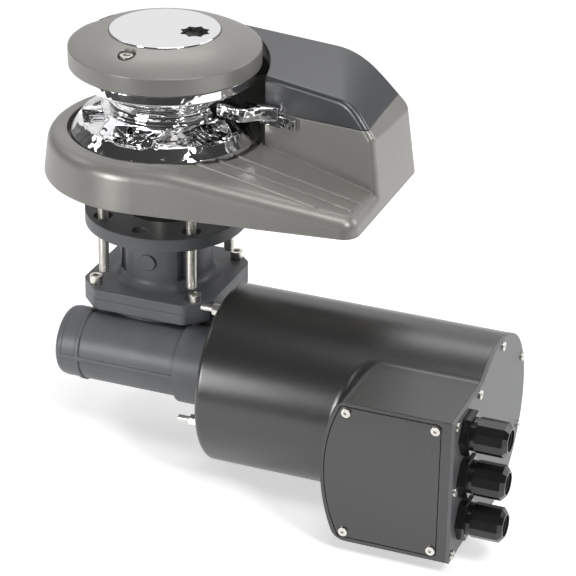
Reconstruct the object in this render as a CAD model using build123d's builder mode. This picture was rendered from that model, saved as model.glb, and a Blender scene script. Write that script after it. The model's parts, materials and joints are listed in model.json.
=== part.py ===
from build123d import *
from math import atan, cos, degrees, pi, radians, sin, tan
import os

os.makedirs("parts", exist_ok=True)

# Frame: the origin is on the main shaft's axis, on the plane of the deck.
# +Z points up, +X runs to the tail of the deck base and along the motor.

# Clearances
running_gap = 0.05
seat_gap = 0.3
moving_gap = 1.0

# Main shaft, from its foot to the thread under the cap
shaft_r = 15.0
shaft_foot_r = 12.5
clutch_shaft_r = 13.0
thread_r = 12.0
shaft_collar_r = 19.0
shaft_collar_h = 6.0
key_w = 8.0
key_h = 7.0

# Deck base
base_r = 93.0
tail_x = 180.0
tail_half = 73.0
tail_corner_r = 13.0
side_draft = 7.0
rim_z = 33.6
floor_bend_x = 35.0
floor_tail_z = 14.0
base_edge_r = 11.0
well_r = 75.0
well_depth = 8.6
base_bush_r = 21.0
base_bush_flange_r = 26.0
base_bush_flange_h = 2.0

# Tower of the base, which the chain falls through, and its plastic cover
tower_front_y = 25.0
tower_front_slope = 0.244
tower_left_x = -12.0
tower_top_z = 82.2
tower_top_rise = 0.155
tower_low_y = -30.0
tower_high_y = 100.0
tower_edge_r = 4.0
tower_end_r = 4.0
tower_wall = 5.0
cover_wall = 3.5
cover_split_z = 50.5
cover_split_slope = 0.067
cap_clearance_r = 79.0
apron_z = 79.0
chain_hole_x = 104.0
chain_hole_y = 36.0
chain_hole_l = 66.0
chain_hole_w = 44.0

# Raised ribs on the floor of the chain trough
rib_w = 2.6
rib_h = 1.4
rib_y = (-21.6, -39.2, -54.8)
rib_turn = (-8.0, -6.8, -5.9)
rib_end_x = (173.0, 173.0, 149.0)
rib_start_x = 46.0

# Chain stripper, on the trough's wall
stripper_left_x = 77.0
stripper_right_x = 107.5
stripper_low_z = 47.5
stripper_h = 9.5
stripper_t = 5.0
finger_tip_r = 46.5
finger_h = 11.0
finger_root_x = 92.0
finger_edge_r = 2.0

# Gypsy and its two friction cones
gypsy_lower_r = 72.5
gypsy_upper_r = 70.5
gypsy_foot_z = 28.0
gypsy_lower_rim_z = 33.0
gypsy_band_r = 65.5
gypsy_band_z = 42.0
gypsy_mid_z = 57.0
gypsy_upper_rim_z = 77.6
gypsy_top_z = 84.3
gypsy_waist_r = 41.0
pocket_count = 6
pocket_bed_r = 47.5
pocket_l = 46.0
pocket_h = 29.0
tray_low_r = 45.0
tray_high_r = 62.5
tray_floor_z = 37.5
fin_count = 30
fin_w = 1.8
fin_top_z = 41.5
link_slot_h = 13.0
link_slot_r = 39.0
cone_big_r = 38.0
cone_small_r = 31.0
cone_h = 15.0
cone_plate_t = 3.0
spring_r = 19.0
spring_wire_r = 1.4
spring_coils = 3

# Cap
cap_r = 73.0
cap_foot_z = 85.7
cap_shoulder_z = 99.0
cap_crown_z = 105.6
cap_crown_r = 60.0
disc_r = 42.0
disc_top_z = 111.9
disc_t = 3.0
cap_skin = 4.0
cap_hub_r = 24.0
socket_x = 23.8
socket_y = 1.5
socket_r = 13.0
socket_side = 17.0
socket_depth = 14.0
lever_hole_r = 10.0
lever_hole_reach = 65.0
lever_hole_turn = 163.0
lock_hole_r = 6.8
lock_hole_reach = 52.8
lock_hole_turn = 262.0

# Studs that clamp the deck
stud_r = 4.0
stud_reach = 52.0
spare_reach = 49.5
stud_core_r = 3.4
stud_core_l = 16.0
stud_relief_r = 5.5
stud_relief_h = 1.5
stud_foot_z = -81.2

# Neck casting, under the deck
flange_r = 63.0
flange_top_z = -33.7
flange_t = 10.2
stud_hole_r = 7.5
spare_hole_r = 5.75
neck_r = 36.0
neck_flare_r = 7.0
neck_groove_r = 6.0
neck_boss_r = 6.5
neck_boss_z = -67.0
neck_boss_h = 1.2
foot_top_z = -89.0
foot_half = 54.0
foot_corner_cut = 17.0
foot_corner_r = 8.0
foot_t = 8.2
seal_r = 31.5
seal_pocket = 6.0
bearing_t = 16.0
bearing_r = 30.0
foot_bearing_r = 26.0

# Screws between the neck and the gearbox
screw_r = 3.0
screw_head_r = 5.0
screw_head_h = 6.0
screw_reach = 41.5
screw_l = 22.0
lock_screw_l = 8.0

# Worm gear
gear_z = -138.3
worm_y = -50.0
gear_module = 2.0
wheel_teeth = 38
worm_pitch_r = 12.0
wheel_t = 12.0
worm_l = 46.0
tooth_w = 2.3
pressure_angle = 20.0

# Gearbox casting
case_wall = 6.0
case_foot_z = -173.0
case_plate_t = 8.3
wheel_room = 2.5
worm_tube_r = 27.5
tube_left_x = -56.0
tube_right_x = 66.0
tube_step_x = 39.0
tube_step_r = 31.0
tube_ring_x = -44.0
tube_ring_r = 28.6
tube_ring_w = 3.0
end_cap_t = 6.0
parting_w = 3.2
parting_h = 1.2
worm_bearing_r = 20.0
worm_bearing_t = 12.0
worm_shaft_r = 8.5

# Motor
motor_r = 68.5
adapter_r = 46.0
adapter_seat_x = 71.0
motor_x = 73.0
motor_end_x = 285.0
motor_edge_r = 4.5
motor_skin = 3.5
end_plate_t = 2.7
box_front_y = -155.5
box_half_z = 57.0
box_mid_z = -140.3
box_left_x = 188.5
box_corner_x = 200.5
box_corner_r = 12.0
box_skin = 3.5
box_blend_r = 10.0
lid_t = 3.0
lid_gap = 0.6
lid_right_x = 277.3
lid_inset = 3.7
lid_left_x = 191.5
lid_corner_x = 203.5
lid_corner_r = 3.0
lid_seat_t = 3.0
lid_rim = 24.0
lid_screw_x = (207.3, 273.8)
lid_screw_inset = 8.0
small_screw_r = 2.0
small_head_r = 3.4
small_head_h = 1.6
small_screw_l = 9.0
post_r = 4.5
post_l = 14.0

motor_wall = 5.0
spigot_r = 44.0
adapter_screw_r = 2.5
adapter_screw_reach = 25.5
adapter_screw_l = 14.0
adapter_head_r = 4.3
coupling_r = 16.0
coupling_l = 17.0
coupling_x = 55.0
bolt_r = 2.5
bolt_reach = 60.0
bolt_turn = 14.0
bolt_left_x = 57.5
bolt_nut_w = 8.0
bolt_nut_h = 6.0

# Screws of the end plate, as offsets from the motor's axis
drum_screws = ((56.3, 29.4), (3.6, 63.4))
box_screw_y = (-100.5, -49.3)
box_screw_inset = 4.7
middle_screw = (-100.5, 0.0)

# Inside the motor
bell_r = 64.8
bell_t = 6.0
rear_bell_x = 258.0
rear_bell_t = 12.0
yoke_r = 57.0
magnet_turn = 45.0
yoke_t = 7.0
magnet_t = 7.0
magnet_gap = 21.0
air_gap = 1.2
armature_left_x = 98.0
armature_right_x = 222.0
armature_slots = 12
slot_w = 5.0
slot_depth = 12.0
winding_l = 8.0
winding_skin = 2.0
commutator_r = 21.0
commutator_left_x = 232.0
commutator_right_x = 252.0
commutator_bars = 24
brush_x = 240.0
brush_w = 9.0
brush_t = 12.0
brush_l = 20.0
holder_t = 4.0
holder_wall = 1.5
block_x = 240.0
block_l = 34.0
block_h = 44.0
block_t = 10.0
block_front_y = -135.0
block_plinth_l = 11.0
terminal_pitch = 15.0
terminal_stud_l = 8.0

# Cable glands
gland_y = -130.0
gland_z = -137.3
gland_pitch = 34.8
gland_flat = 29.0
gland_hex_t = 6.5
gland_thread_r = 12.2
gland_nut_r = 12.5
gland_mouth_r = 8.0
gland_neck_l = 3.5
gland_reach = 36.0
gland_flutes = 12
gland_tail_l = 7.0
gland_room_r = 15.8
gland_room_l = 7.5
lock_nut_flat = 27.0
lock_nut_t = 4.0
seal_skin = 2.5
gland_lip = 1.5

# Worked-out sizes
gland_tip_x = motor_end_x + gland_reach
lid_top = box_half_z - lid_inset
lid_screw_z = box_half_z - lid_screw_inset
floor_slope = (rim_z - floor_tail_z) / (tail_x - floor_bend_x)
floor_angle = degrees(atan(floor_slope))
wall_turn = -degrees(atan(tower_front_slope))
well_z = rim_z - well_depth
wheel_r = gear_module * wheel_teeth / 2
wheel_tip_r = wheel_r + gear_module
wheel_root_r = wheel_r - 1.25 * gear_module
worm_pitch = pi * gear_module
worm_tip_r = worm_pitch_r + gear_module
worm_root_r = worm_pitch_r - 1.25 * gear_module
case_r = wheel_tip_r + wheel_room + case_wall
neck_foot_z = foot_top_z - foot_t
bell_left_x = motor_x + motor_wall
lid_front_y = box_front_y + lid_t
box_depth = worm_y - box_front_y
gland_points = [(gland_y, gland_z + k * gland_pitch) for k in (-1, 0, 1)]
lid_screw_points = [(x, box_mid_z + z) for x in lid_screw_x for z in (-lid_screw_z, lid_screw_z)]
box_shift = box_mid_z - gear_z
plate_screw_points = [(middle_screw[0], middle_screw[1] + box_shift)]
for side in (-1, 1):
    plate_screw_points += [(y, side * z) for y, z in drum_screws]
    box_screw_z = side * (box_half_z - box_screw_inset) + box_shift
    plate_screw_points += [(y, box_screw_z) for y in box_screw_y]
worm_bearing_x = -worm_l / 2 - 10 - worm_bearing_t
worm_line = Plane(origin=(0, worm_y, gear_z), x_dir=(0, 1, 0), z_dir=(1, 0, 0))


def write(piece, name):
    piece.part.label = name
    export_step(piece.part, f"parts/{name}.step")


def worm_plane(x):
    return worm_line.offset(x)


def base_outline(inset, z=0.0):
    corner_r = max(tail_corner_r - inset, tail_corner_r / 3)
    corner_x = tail_x - inset - corner_r
    corner_y = tail_half - inset - corner_r
    with BuildSketch(Plane.XY.offset(z)) as outline:
        Circle(base_r - inset)
        with Locations((corner_x, corner_y), (corner_x, -corner_y)):
            Circle(corner_r)
        make_hull()
    return outline.sketch


def drafted_base(height, inset=0.0):
    with BuildPart() as form:
        add(base_outline(inset))
        add(base_outline(inset + height * tan(radians(side_draft)), height))
        loft(ruled=True)
    return form.part


def tower_section(y, inset):
    rise = tower_top_z + tower_top_rise * y - inset
    lean = y - tower_low_y
    with BuildSketch(Plane.XZ.offset(-y)) as section:
        with BuildLine():
            top = Line((tower_left_x, rise), (tail_x - 29 - 0.42 * lean, rise))
            shoulder = Spline(
                top @ 1,
                (tail_x - 16.5 - 0.23 * lean - inset, 71.5 + 0.12 * lean - inset),
                (tail_x - 8.5 - 0.045 * lean - inset, 60 - inset),
                (tail_x - 2 - inset, 36 - inset),
                tangents=(top % 1, (0, -1)),
            )
            Polyline(shoulder @ 1, (tail_x - inset, 0), (tower_left_x, 0), top @ 0)
        make_face()
    return section.sketch


def tower_form(inset):
    """The tower above the chain pit; with an inset it is the room inside it."""
    front = Plane(
        origin=(0, tower_front_y + inset, 0), z_dir=(tower_front_slope, 1, 0)
    )
    with BuildPart() as form:
        add(tower_section(tower_low_y, inset))
        add(tower_section(tower_high_y, inset))
        loft(ruled=True)
        add(drafted_base(tower_high_y, inset), mode=Mode.INTERSECT)
        split(bisect_by=front, keep=Keep.TOP)
    return form.part


def split_plane(shift=0.0):
    return Plane(
        origin=(0, 0, cover_split_z + shift), z_dir=(-cover_split_slope, 0, 1)
    )


def outer_edges(faces):
    """The edges that belong to just one of the faces."""
    edges = [edge for face in faces for edge in face.edges()]
    return [
        edge for edge in edges
        if sum(edge.is_same(other) for other in edges) == 1
    ]


# Outer skin of the tower, shared by the base and the cover
with BuildPart() as tower_skin:
    add(tower_form(0))
    rear_edges = tower_skin.edges().filter_by(
        lambda e: e.center().Y > tail_half - 25 and e.center().Z > cover_split_z
    )
    fillet(rear_edges, tower_edge_r)
    end_edges = tower_skin.edges().filter_by(
        lambda e: e.center().X > tail_x - 15 and e.center().Y < 0
        and e.bounding_box().size.X < 15 and 5 < e.center().Z < cover_split_z
    )
    fillet(end_edges, tower_end_r)
    with Locations((0, 0, well_z)):
        Cylinder(
            cap_clearance_r, 100,
            align=(Align.CENTER, Align.CENTER, Align.MIN), mode=Mode.SUBTRACT,
        )
tower_foot = split(tower_skin.part, bisect_by=split_plane(), keep=Keep.BOTTOM)
tower_head = split(tower_skin.part, bisect_by=split_plane(seat_gap), keep=Keep.TOP)

# Room inside the tower, open towards the gypsy, where the chain falls
with BuildPart() as tower_room:
    add(tower_form(tower_wall))
    with BuildSketch():
        Rectangle(4 * base_r, 4 * base_r)
    extrude(amount=well_z, mode=Mode.SUBTRACT)
with BuildPart() as cover_room:
    add(tower_form(cover_wall))
    with Locations((0, 0, apron_z)):
        Cylinder(
            cap_clearance_r + cover_wall, 60,
            align=(Align.CENTER, Align.CENTER, Align.MIN), mode=Mode.SUBTRACT,
        )

# Deck base: a low pan with a sloping trough, a well for the gypsy and the tower
with BuildPart() as deck_base:
    add(drafted_base(rim_z + 2))
    with BuildSketch(Plane.XZ):
        with BuildLine():
            top = FilletPolyline(
                (-base_r - 5, rim_z),
                (floor_bend_x, rim_z),
                (tail_x + 5, floor_tail_z - 5 * floor_slope),
                radius=120,
            )
            Polyline(top @ 1, (tail_x + 5, -1), (-base_r - 5, -1), top @ 0)
        make_face()
    extrude(amount=base_r + 5, both=True, mode=Mode.INTERSECT)
    trough_faces = [face for face in deck_base.faces() if face.normal_at().Z > 0.9]
    fillet(outer_edges(trough_faces), base_edge_r)
    add(tower_foot)
    with Locations((0, 0, well_z)):
        Cylinder(
            well_r, 100,
            align=(Align.CENTER, Align.CENTER, Align.MIN), mode=Mode.SUBTRACT,
        )
    add(tower_room.part, mode=Mode.SUBTRACT)
    with BuildSketch():
        with Locations((chain_hole_x, chain_hole_y)):
            SlotOverall(chain_hole_l, chain_hole_w, rotation=wall_turn)
    extrude(amount=rim_z, mode=Mode.SUBTRACT)
    for y, turn, end_x in zip(rib_y, rib_turn, rib_end_x):
        rib_l = (end_x - rib_start_x) / cos(radians(turn))
        mid_x = (end_x + rib_start_x) / 2
        floor_z = rim_z - (mid_x - floor_bend_x) * floor_slope
        with BuildSketch(
            Plane(
                origin=(mid_x, y + (mid_x - rib_start_x) * tan(radians(turn)), floor_z),
                x_dir=(cos(radians(floor_angle)), 0, -sin(radians(floor_angle))),
                z_dir=(sin(radians(floor_angle)), 0, cos(radians(floor_angle))),
            )
        ):
            SlotOverall(rib_l, rib_w, rotation=turn)
        extrude(amount=rib_h, both=True)
    with Locations((0, 0, well_z)):
        Cylinder(
            well_r, 100,
            align=(Align.CENTER, Align.CENTER, Align.MIN), mode=Mode.SUBTRACT,
        )
    Hole(base_bush_r)
    with PolarLocations(stud_reach, 4, start_angle=45):
        Cylinder(
            stud_core_r, stud_core_l,
            align=(Align.CENTER, Align.CENTER, Align.MIN), mode=Mode.SUBTRACT,
        )
        Cylinder(
            stud_relief_r, stud_relief_h,
            align=(Align.CENTER, Align.CENTER, Align.MIN), mode=Mode.SUBTRACT,
        )
write(deck_base, "deck_base")

# Chain cover: a moulded shell with an apron round the cap
with BuildPart() as chain_cover:
    add(tower_head)
    add(cover_room.part, mode=Mode.SUBTRACT)
write(chain_cover, "chain_cover")


def ring(outer_r, inner_r, length, plane):
    """A tube that stands on a plane."""
    with BuildPart() as tube:
        with BuildSketch(plane):
            Circle(outer_r)
            Circle(inner_r, mode=Mode.SUBTRACT)
        extrude(amount=length)
    return tube.part


def turned(points):
    """A ring turned about the main shaft from its half section."""
    with BuildPart() as shape:
        with BuildSketch(Plane.XZ):
            with BuildLine():
                Polyline(*points, close=True)
            make_face()
        revolve(axis=Axis.Z)
    return shape.part


def key_slot(radius, low_z, high_z, gap=0.0):
    """The room that a key takes, across the shaft's surface on its +X side."""
    with BuildPart() as slot:
        with BuildSketch(Plane.XY.offset(low_z)):
            with Locations((radius, 0)):
                Rectangle(key_h + 2 * gap, key_w + 2 * gap)
        extrude(amount=high_z - low_z)
    return slot.part


def screw(plane, shank_r, shank_l, head_r, head_h, socket_w):
    """A cap screw: its head stands on the plane and its shank goes below."""
    with BuildPart() as one:
        with BuildSketch(plane):
            Circle(head_r)
        extrude(amount=head_h)
        with BuildSketch(plane):
            Circle(shank_r)
        extrude(amount=-shank_l)
        with BuildSketch(plane.offset(head_h)):
            RegularPolygon(socket_w / 2, 6, major_radius=False)
        extrude(amount=-head_h * 0.55, mode=Mode.SUBTRACT)
    return one.part


# Bronze bush of the base, which carries the main shaft
with BuildPart() as base_bush:
    add(ring(base_bush_r, shaft_r + running_gap, well_z, Plane.XY))
    add(ring(base_bush_flange_r, shaft_r + running_gap, base_bush_flange_h,
             Plane.XY.offset(well_z)))
write(base_bush, "base_bush")

# Studs that hang from the base through the deck
with BuildPart() as deck_studs:
    with BuildSketch():
        with PolarLocations(stud_reach, 4, start_angle=45):
            Circle(stud_core_r)
    extrude(amount=stud_core_l)
    with BuildSketch(Plane.XY.offset(stud_foot_z)):
        with PolarLocations(stud_reach, 4, start_angle=45):
            Circle(stud_r)
    extrude(amount=stud_relief_h - stud_foot_z)
    chamfer(deck_studs.edges().group_by(Axis.Z)[0], 0.8)
write(deck_studs, "deck_studs")

# Main shaft
shaft_shoulder_z = well_z + base_bush_flange_h
lower_cone_z = shaft_shoulder_z + seat_gap
cone_mouth_z = lower_cone_z + cone_plate_t
cone_plate_r = cone_big_r + 6
shaft_top_z = cap_shoulder_z + 2
wheel_low_z = gear_z - wheel_t / 2
wheel_high_z = gear_z + wheel_t / 2
foot_bearing_z = wheel_low_z - 4 - bearing_t
upper_bearing_z = flange_top_z - seal_pocket - 3 - bearing_t
with BuildPart() as main_shaft:
    with BuildSketch(Plane.XY.offset(foot_bearing_z)):
        Circle(shaft_foot_r)
    extrude(amount=bearing_t + 2)
    with BuildSketch(Plane.XY.offset(foot_bearing_z + bearing_t)):
        Circle(shaft_r)
    extrude(amount=lower_cone_z - foot_bearing_z - bearing_t)
    with BuildSketch(Plane.XY.offset(wheel_high_z)):
        Circle(shaft_collar_r)
    extrude(amount=shaft_collar_h)
    with BuildSketch(Plane.XY.offset(lower_cone_z)):
        Circle(clutch_shaft_r)
    extrude(amount=cap_foot_z - lower_cone_z)
    with BuildSketch(Plane.XY.offset(cap_foot_z)):
        Circle(thread_r)
    extrude(amount=shaft_top_z - cap_foot_z)
    chamfer(main_shaft.edges().group_by(Axis.Z)[-1], 1.5)
    add(key_slot(shaft_r, wheel_low_z, wheel_high_z), mode=Mode.SUBTRACT)
    add(key_slot(clutch_shaft_r, lower_cone_z, cap_foot_z - 2), mode=Mode.SUBTRACT)
write(main_shaft, "main_shaft")

with BuildPart() as wheel_key:
    add(key_slot(shaft_r, wheel_low_z, wheel_high_z))
write(wheel_key, "wheel_key")
with BuildPart() as clutch_key:
    add(key_slot(clutch_shaft_r, lower_cone_z, cap_foot_z - 2))
write(clutch_key, "clutch_key")

# Lower friction cone, keyed to the shaft
cone_slope = (cone_big_r - cone_small_r) / cone_h
with BuildPart() as lower_cone:
    add(turned([
        (clutch_shaft_r, lower_cone_z),
        (cone_plate_r, lower_cone_z),
        (cone_plate_r, cone_mouth_z),
        (cone_big_r, cone_mouth_z),
        (cone_small_r, cone_mouth_z + cone_h),
        (clutch_shaft_r, cone_mouth_z + cone_h),
    ]))
    add(key_slot(clutch_shaft_r, lower_cone_z, cone_mouth_z + cone_h), mode=Mode.SUBTRACT)
write(lower_cone, "lower_cone")

# Upper friction cone, which slides on the key when the cap is slackened
upper_mouth_z = gypsy_top_z + seat_gap
with BuildPart() as upper_cone:
    add(turned([
        (clutch_shaft_r + running_gap, upper_mouth_z - cone_h),
        (cone_small_r, upper_mouth_z - cone_h),
        (cone_big_r, upper_mouth_z),
        (cone_big_r, cap_foot_z - running_gap),
        (clutch_shaft_r + running_gap, cap_foot_z - running_gap),
    ]))
    add(key_slot(clutch_shaft_r, upper_mouth_z - cone_h, cap_foot_z, running_gap),
        mode=Mode.SUBTRACT)
write(upper_cone, "upper_cone")

# Spring that lifts the upper cone
spring_l = upper_mouth_z - 2 * cone_h - cone_mouth_z - 2 * spring_wire_r
with BuildPart() as clutch_spring:
    with BuildLine():
        coil = Helix(
            pitch=spring_l / spring_coils, height=spring_l, radius=spring_r,
            center=(0, 0, cone_mouth_z + cone_h + spring_wire_r),
        )
    with BuildSketch(Plane(origin=coil @ 0, x_dir=(1, 0, 0), z_dir=coil % 0)):
        RegularPolygon(spring_wire_r, 4)
    sweep(path=coil, is_frenet=True)
write(clutch_spring, "clutch_spring")

# Gypsy: two flanges, a waist, and a pocket for each flat link of chain
with BuildPart() as gypsy:
    with BuildSketch(Plane.XZ):
        with BuildLine():
            foot = Polyline(
                (cone_plate_r + moving_gap, gypsy_foot_z),
                (gypsy_lower_r, gypsy_foot_z),
                (gypsy_lower_r, gypsy_lower_rim_z),
                (gypsy_band_r, gypsy_band_z),
            )
            groove = Spline(
                foot @ 1,
                (gypsy_waist_r + 9, gypsy_mid_z - 8),
                (gypsy_waist_r, gypsy_mid_z),
                (gypsy_waist_r + 8, gypsy_mid_z + 8),
                (gypsy_upper_r - 3, gypsy_upper_rim_z - 1),
            )
            Polyline(
                groove @ 1,
                (gypsy_upper_r, gypsy_upper_rim_z),
                (gypsy_upper_r, gypsy_top_z),
                (cone_big_r + seat_gap, gypsy_top_z),
                (cone_small_r + seat_gap, gypsy_top_z - cone_h),
                (cone_small_r - 3, gypsy_top_z - cone_h),
                (cone_small_r - 3, cone_mouth_z + cone_h + seat_gap),
                (cone_small_r + seat_gap, cone_mouth_z + cone_h + seat_gap),
                (cone_big_r + seat_gap, cone_mouth_z + seat_gap),
                (cone_plate_r + moving_gap, cone_mouth_z + seat_gap),
                (cone_plate_r + moving_gap, gypsy_foot_z),
            )
        make_face()
    revolve(axis=Axis.Z)
    for k in range(pocket_count):
        turn = (k + 0.5) * 360 / pocket_count
        out = Vector(1, 0, 0).rotate(Axis.Z, turn)
        across = Vector(0, 1, 0).rotate(Axis.Z, turn)
        bed = Plane(
            origin=out * pocket_bed_r + Vector(0, 0, gypsy_mid_z), x_dir=across, z_dir=out
        )
        with BuildSketch(bed):
            SlotOverall(pocket_l, pocket_h)
        extrude(amount=gypsy_lower_r, mode=Mode.SUBTRACT, taper=-6)
    with BuildSketch(Plane.XY.offset(gypsy_mid_z - link_slot_h / 2)):
        Circle(gypsy_lower_r + 5)
        Circle(link_slot_r + 4, mode=Mode.SUBTRACT)
    extrude(amount=link_slot_h, mode=Mode.SUBTRACT)
    # a tray under each pocket, with thin radial fins on its floor
    with BuildSketch(Plane.XY.offset(tray_floor_z)):
        with PolarLocations((tray_low_r + tray_high_r) / 2, pocket_count, start_angle=30):
            Rectangle(tray_high_r - tray_low_r, pocket_l - 4)
    extrude(amount=gypsy_mid_z - pocket_h / 2 - tray_floor_z, mode=Mode.SUBTRACT)
    with BuildSketch(Plane.XY.offset(tray_floor_z - 1)):
        with PolarLocations(tray_low_r + 5, fin_count):
            Rectangle(16, fin_w)
    extrude(amount=fin_top_z - tray_floor_z + 1)
write(gypsy, "gypsy")

# Cap: a domed nut on the shaft's thread
disc_seat_z = disc_top_z - disc_t
with BuildPart() as cap:
    with BuildSketch(Plane.XZ):
        with BuildLine():
            rim = Polyline(
                (thread_r + running_gap, cap_foot_z),
                (cap_hub_r, cap_foot_z),
                (cap_hub_r, cap_foot_z + 8),
                (cap_r - cap_skin, cap_foot_z + 8),
                (cap_r - cap_skin, cap_foot_z),
                (cap_r, cap_foot_z),
                (cap_r, cap_shoulder_z),
            )
            dome = ThreePointArc(
                rim @ 1, (cap_crown_r, cap_crown_z), (disc_r + seat_gap, disc_top_z - 1)
            )
            Polyline(
                dome @ 1,
                (disc_r + seat_gap, disc_seat_z),
                (thread_r + running_gap, disc_seat_z),
                (thread_r + running_gap, cap_foot_z),
            )
        make_face()
    revolve(axis=Axis.Z)
    with Locations((socket_x, socket_y, disc_seat_z)):
        Cylinder(
            socket_r, socket_depth,
            align=(Align.CENTER, Align.CENTER, Align.MAX), mode=Mode.SUBTRACT,
        )
    with PolarLocations(lever_hole_reach, 1, start_angle=lever_hole_turn):
        with Locations((0, 0, cap_crown_z - 8)):
            Cylinder(
                lever_hole_r, 20,
                align=(Align.CENTER, Align.CENTER, Align.MIN), mode=Mode.SUBTRACT,
            )
    with PolarLocations(lock_hole_reach, 1, start_angle=lock_hole_turn):
        with Locations((0, 0, cap_crown_z - 2)):
            Cylinder(
                lock_hole_r, 20,
                align=(Align.CENTER, Align.CENTER, Align.MIN), mode=Mode.SUBTRACT,
            )
    with PolarLocations(lock_hole_reach, 1, start_angle=lock_hole_turn):
        with Locations((0, 0, cap_crown_z - 2)):
            Cylinder(
                screw_r, lock_screw_l,
                align=(Align.CENTER, Align.CENTER, Align.MAX), mode=Mode.SUBTRACT,
            )
write(cap, "cap")

lock_plane = Plane(
    origin=Vector(lock_hole_reach, 0, cap_crown_z - 2).rotate(Axis.Z, lock_hole_turn)
)
with BuildPart() as cap_lock_screw:
    add(screw(lock_plane, screw_r, lock_screw_l, screw_head_r, 4.0, 5.0))
write(cap_lock_screw, "cap_lock_screw")

# Polished disc on the cap, with an eight-pointed socket for the lever
with BuildPart() as cap_disc:
    with BuildSketch(Plane.XY.offset(disc_seat_z)):
        Circle(disc_r)
        with Locations((socket_x, socket_y)):
            Rectangle(socket_side, socket_side, mode=Mode.SUBTRACT)
            Rectangle(socket_side, socket_side, rotation=45, mode=Mode.SUBTRACT)
    extrude(amount=disc_t)
    fillet(cap_disc.edges().filter_by(GeomType.CIRCLE).group_by(Axis.Z)[-1], 0.8)
write(cap_disc, "cap_disc")

# Chain stripper: a bar on the trough's wall with a finger in the gypsy's groove
def wall_y(x):
    return tower_front_y - tower_front_slope * x


with BuildPart() as chain_stripper:
    with BuildSketch(Plane.XY.offset(gypsy_mid_z - finger_h / 2)):
        with BuildLine():
            back = Line((finger_root_x, wall_y(finger_root_x)), (finger_tip_r + 5, 4))
            tip = TangentArc(back @ 1, (finger_tip_r + 4, -11), tangent=back % 1)
            face = Spline(
                tip @ 1,
                (finger_tip_r + 20, -15),
                (finger_root_x, wall_y(finger_root_x) - stripper_t),
                tangents=(tip % 1, (0.97, 0.05)),
            )
            Line(face @ 1, back @ 0)
        make_face()
    extrude(amount=finger_h)
    finger_edges = chain_stripper.edges().filter_by(
        lambda e: abs(e.center().Z - gypsy_mid_z) > 1 and e.center().X < finger_root_x - 1
    )
    fillet(finger_edges, finger_edge_r)
    with BuildSketch(Plane.XY.offset(stripper_low_z)):
        with BuildLine():
            Polyline(
                (stripper_left_x, wall_y(stripper_left_x)),
                (stripper_right_x, wall_y(stripper_right_x)),
                (stripper_right_x, wall_y(stripper_right_x) - stripper_t),
                (stripper_left_x, wall_y(stripper_left_x) - stripper_t),
                close=True,
            )
        make_face()
    extrude(amount=stripper_h)
write(chain_stripper, "chain_stripper")

def foot_plate(z, thick):
    """The square plate with cut corners where the neck meets the gearbox."""
    with BuildPart() as plate:
        with BuildSketch(Plane.XY.offset(z)) as outline:
            Rectangle(2 * foot_half, 2 * foot_half)
            chamfer(outline.vertices(), foot_corner_cut)
            fillet(outline.vertices(), foot_corner_r)
        extrude(amount=thick)
    return plate.part


# Neck casting: round flange under the deck, neck and square foot
with BuildPart() as neck_housing:
    add(foot_plate(neck_foot_z, foot_t))
    with BuildSketch(Plane.XY.offset(foot_top_z)):
        Circle(neck_r)
    extrude(amount=flange_top_z - foot_top_z)
    with BuildSketch(Plane.XY.offset(flange_top_z)):
        Circle(flange_r)
        with PolarLocations(stud_reach, 4, start_angle=45):
            Circle(stud_hole_r, mode=Mode.SUBTRACT)
        with PolarLocations(spare_reach, 4):
            Circle(spare_hole_r, mode=Mode.SUBTRACT)
    extrude(amount=-flange_t)
    neck_edges = neck_housing.edges().filter_by(GeomType.CIRCLE)
    neck_edges = neck_edges.filter_by(lambda e: abs(e.radius - neck_r) < 0.01)
    fillet(neck_edges.group_by(Axis.Z)[0], neck_flare_r)
    with PolarLocations(neck_r + neck_groove_r / 2, 4, start_angle=45):
        with Locations((0, 0, flange_top_z - flange_t)):
            Cylinder(
                neck_groove_r, flange_top_z - flange_t - foot_top_z - neck_flare_r,
                align=(Align.CENTER, Align.CENTER, Align.MAX), mode=Mode.SUBTRACT,
            )
    with BuildSketch(Plane.XZ.offset(neck_r - 3)):
        with Locations((0, neck_boss_z)):
            Circle(neck_boss_r)
    extrude(amount=3 + neck_boss_h)
    Hole(shaft_r + 4)
    with Locations((0, 0, flange_top_z)):
        CounterBoreHole(shaft_r + 4, seal_r, seal_pocket)
        CounterBoreHole(shaft_r + 4, bearing_r, flange_top_z - upper_bearing_z)
    with Locations((0, 0, foot_top_z)):
        with GridLocations(2 * screw_reach, 2 * screw_reach, 2, 2):
            Hole(screw_r + moving_gap / 4, foot_t)
write(neck_housing, "neck_housing")

with BuildPart() as shaft_seal:
    add(ring(seal_r, shaft_r + running_gap, seal_pocket,
             Plane.XY.offset(flange_top_z - seal_pocket)))
write(shaft_seal, "shaft_seal")


def bearing(plane, outer_r, inner_r, length):
    """A ball bearing as an outer race, an inner race and the balls between."""
    step = (outer_r - inner_r) / 4
    mid_r = (outer_r + inner_r) / 2
    with BuildPart() as races:
        with BuildSketch(plane):
            Circle(outer_r)
            Circle(outer_r - step, mode=Mode.SUBTRACT)
        extrude(amount=length)
        with BuildSketch(plane):
            Circle(inner_r + step)
            Circle(inner_r, mode=Mode.SUBTRACT)
        extrude(amount=length)
        with BuildSketch(plane.offset(length / 2 - step * 0.8)):
            Circle(mid_r + step * 1.01)
            Circle(mid_r - step * 1.01, mode=Mode.SUBTRACT)
        extrude(amount=step * 1.6)
    return races.part


with BuildPart() as upper_bearing:
    add(bearing(Plane.XY.offset(upper_bearing_z), bearing_r, shaft_r + running_gap,
                bearing_t))
write(upper_bearing, "upper_bearing")
with BuildPart() as lower_bearing:
    add(bearing(Plane.XY.offset(foot_bearing_z), foot_bearing_r,
                shaft_foot_r + running_gap, bearing_t))
write(lower_bearing, "lower_bearing")

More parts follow.
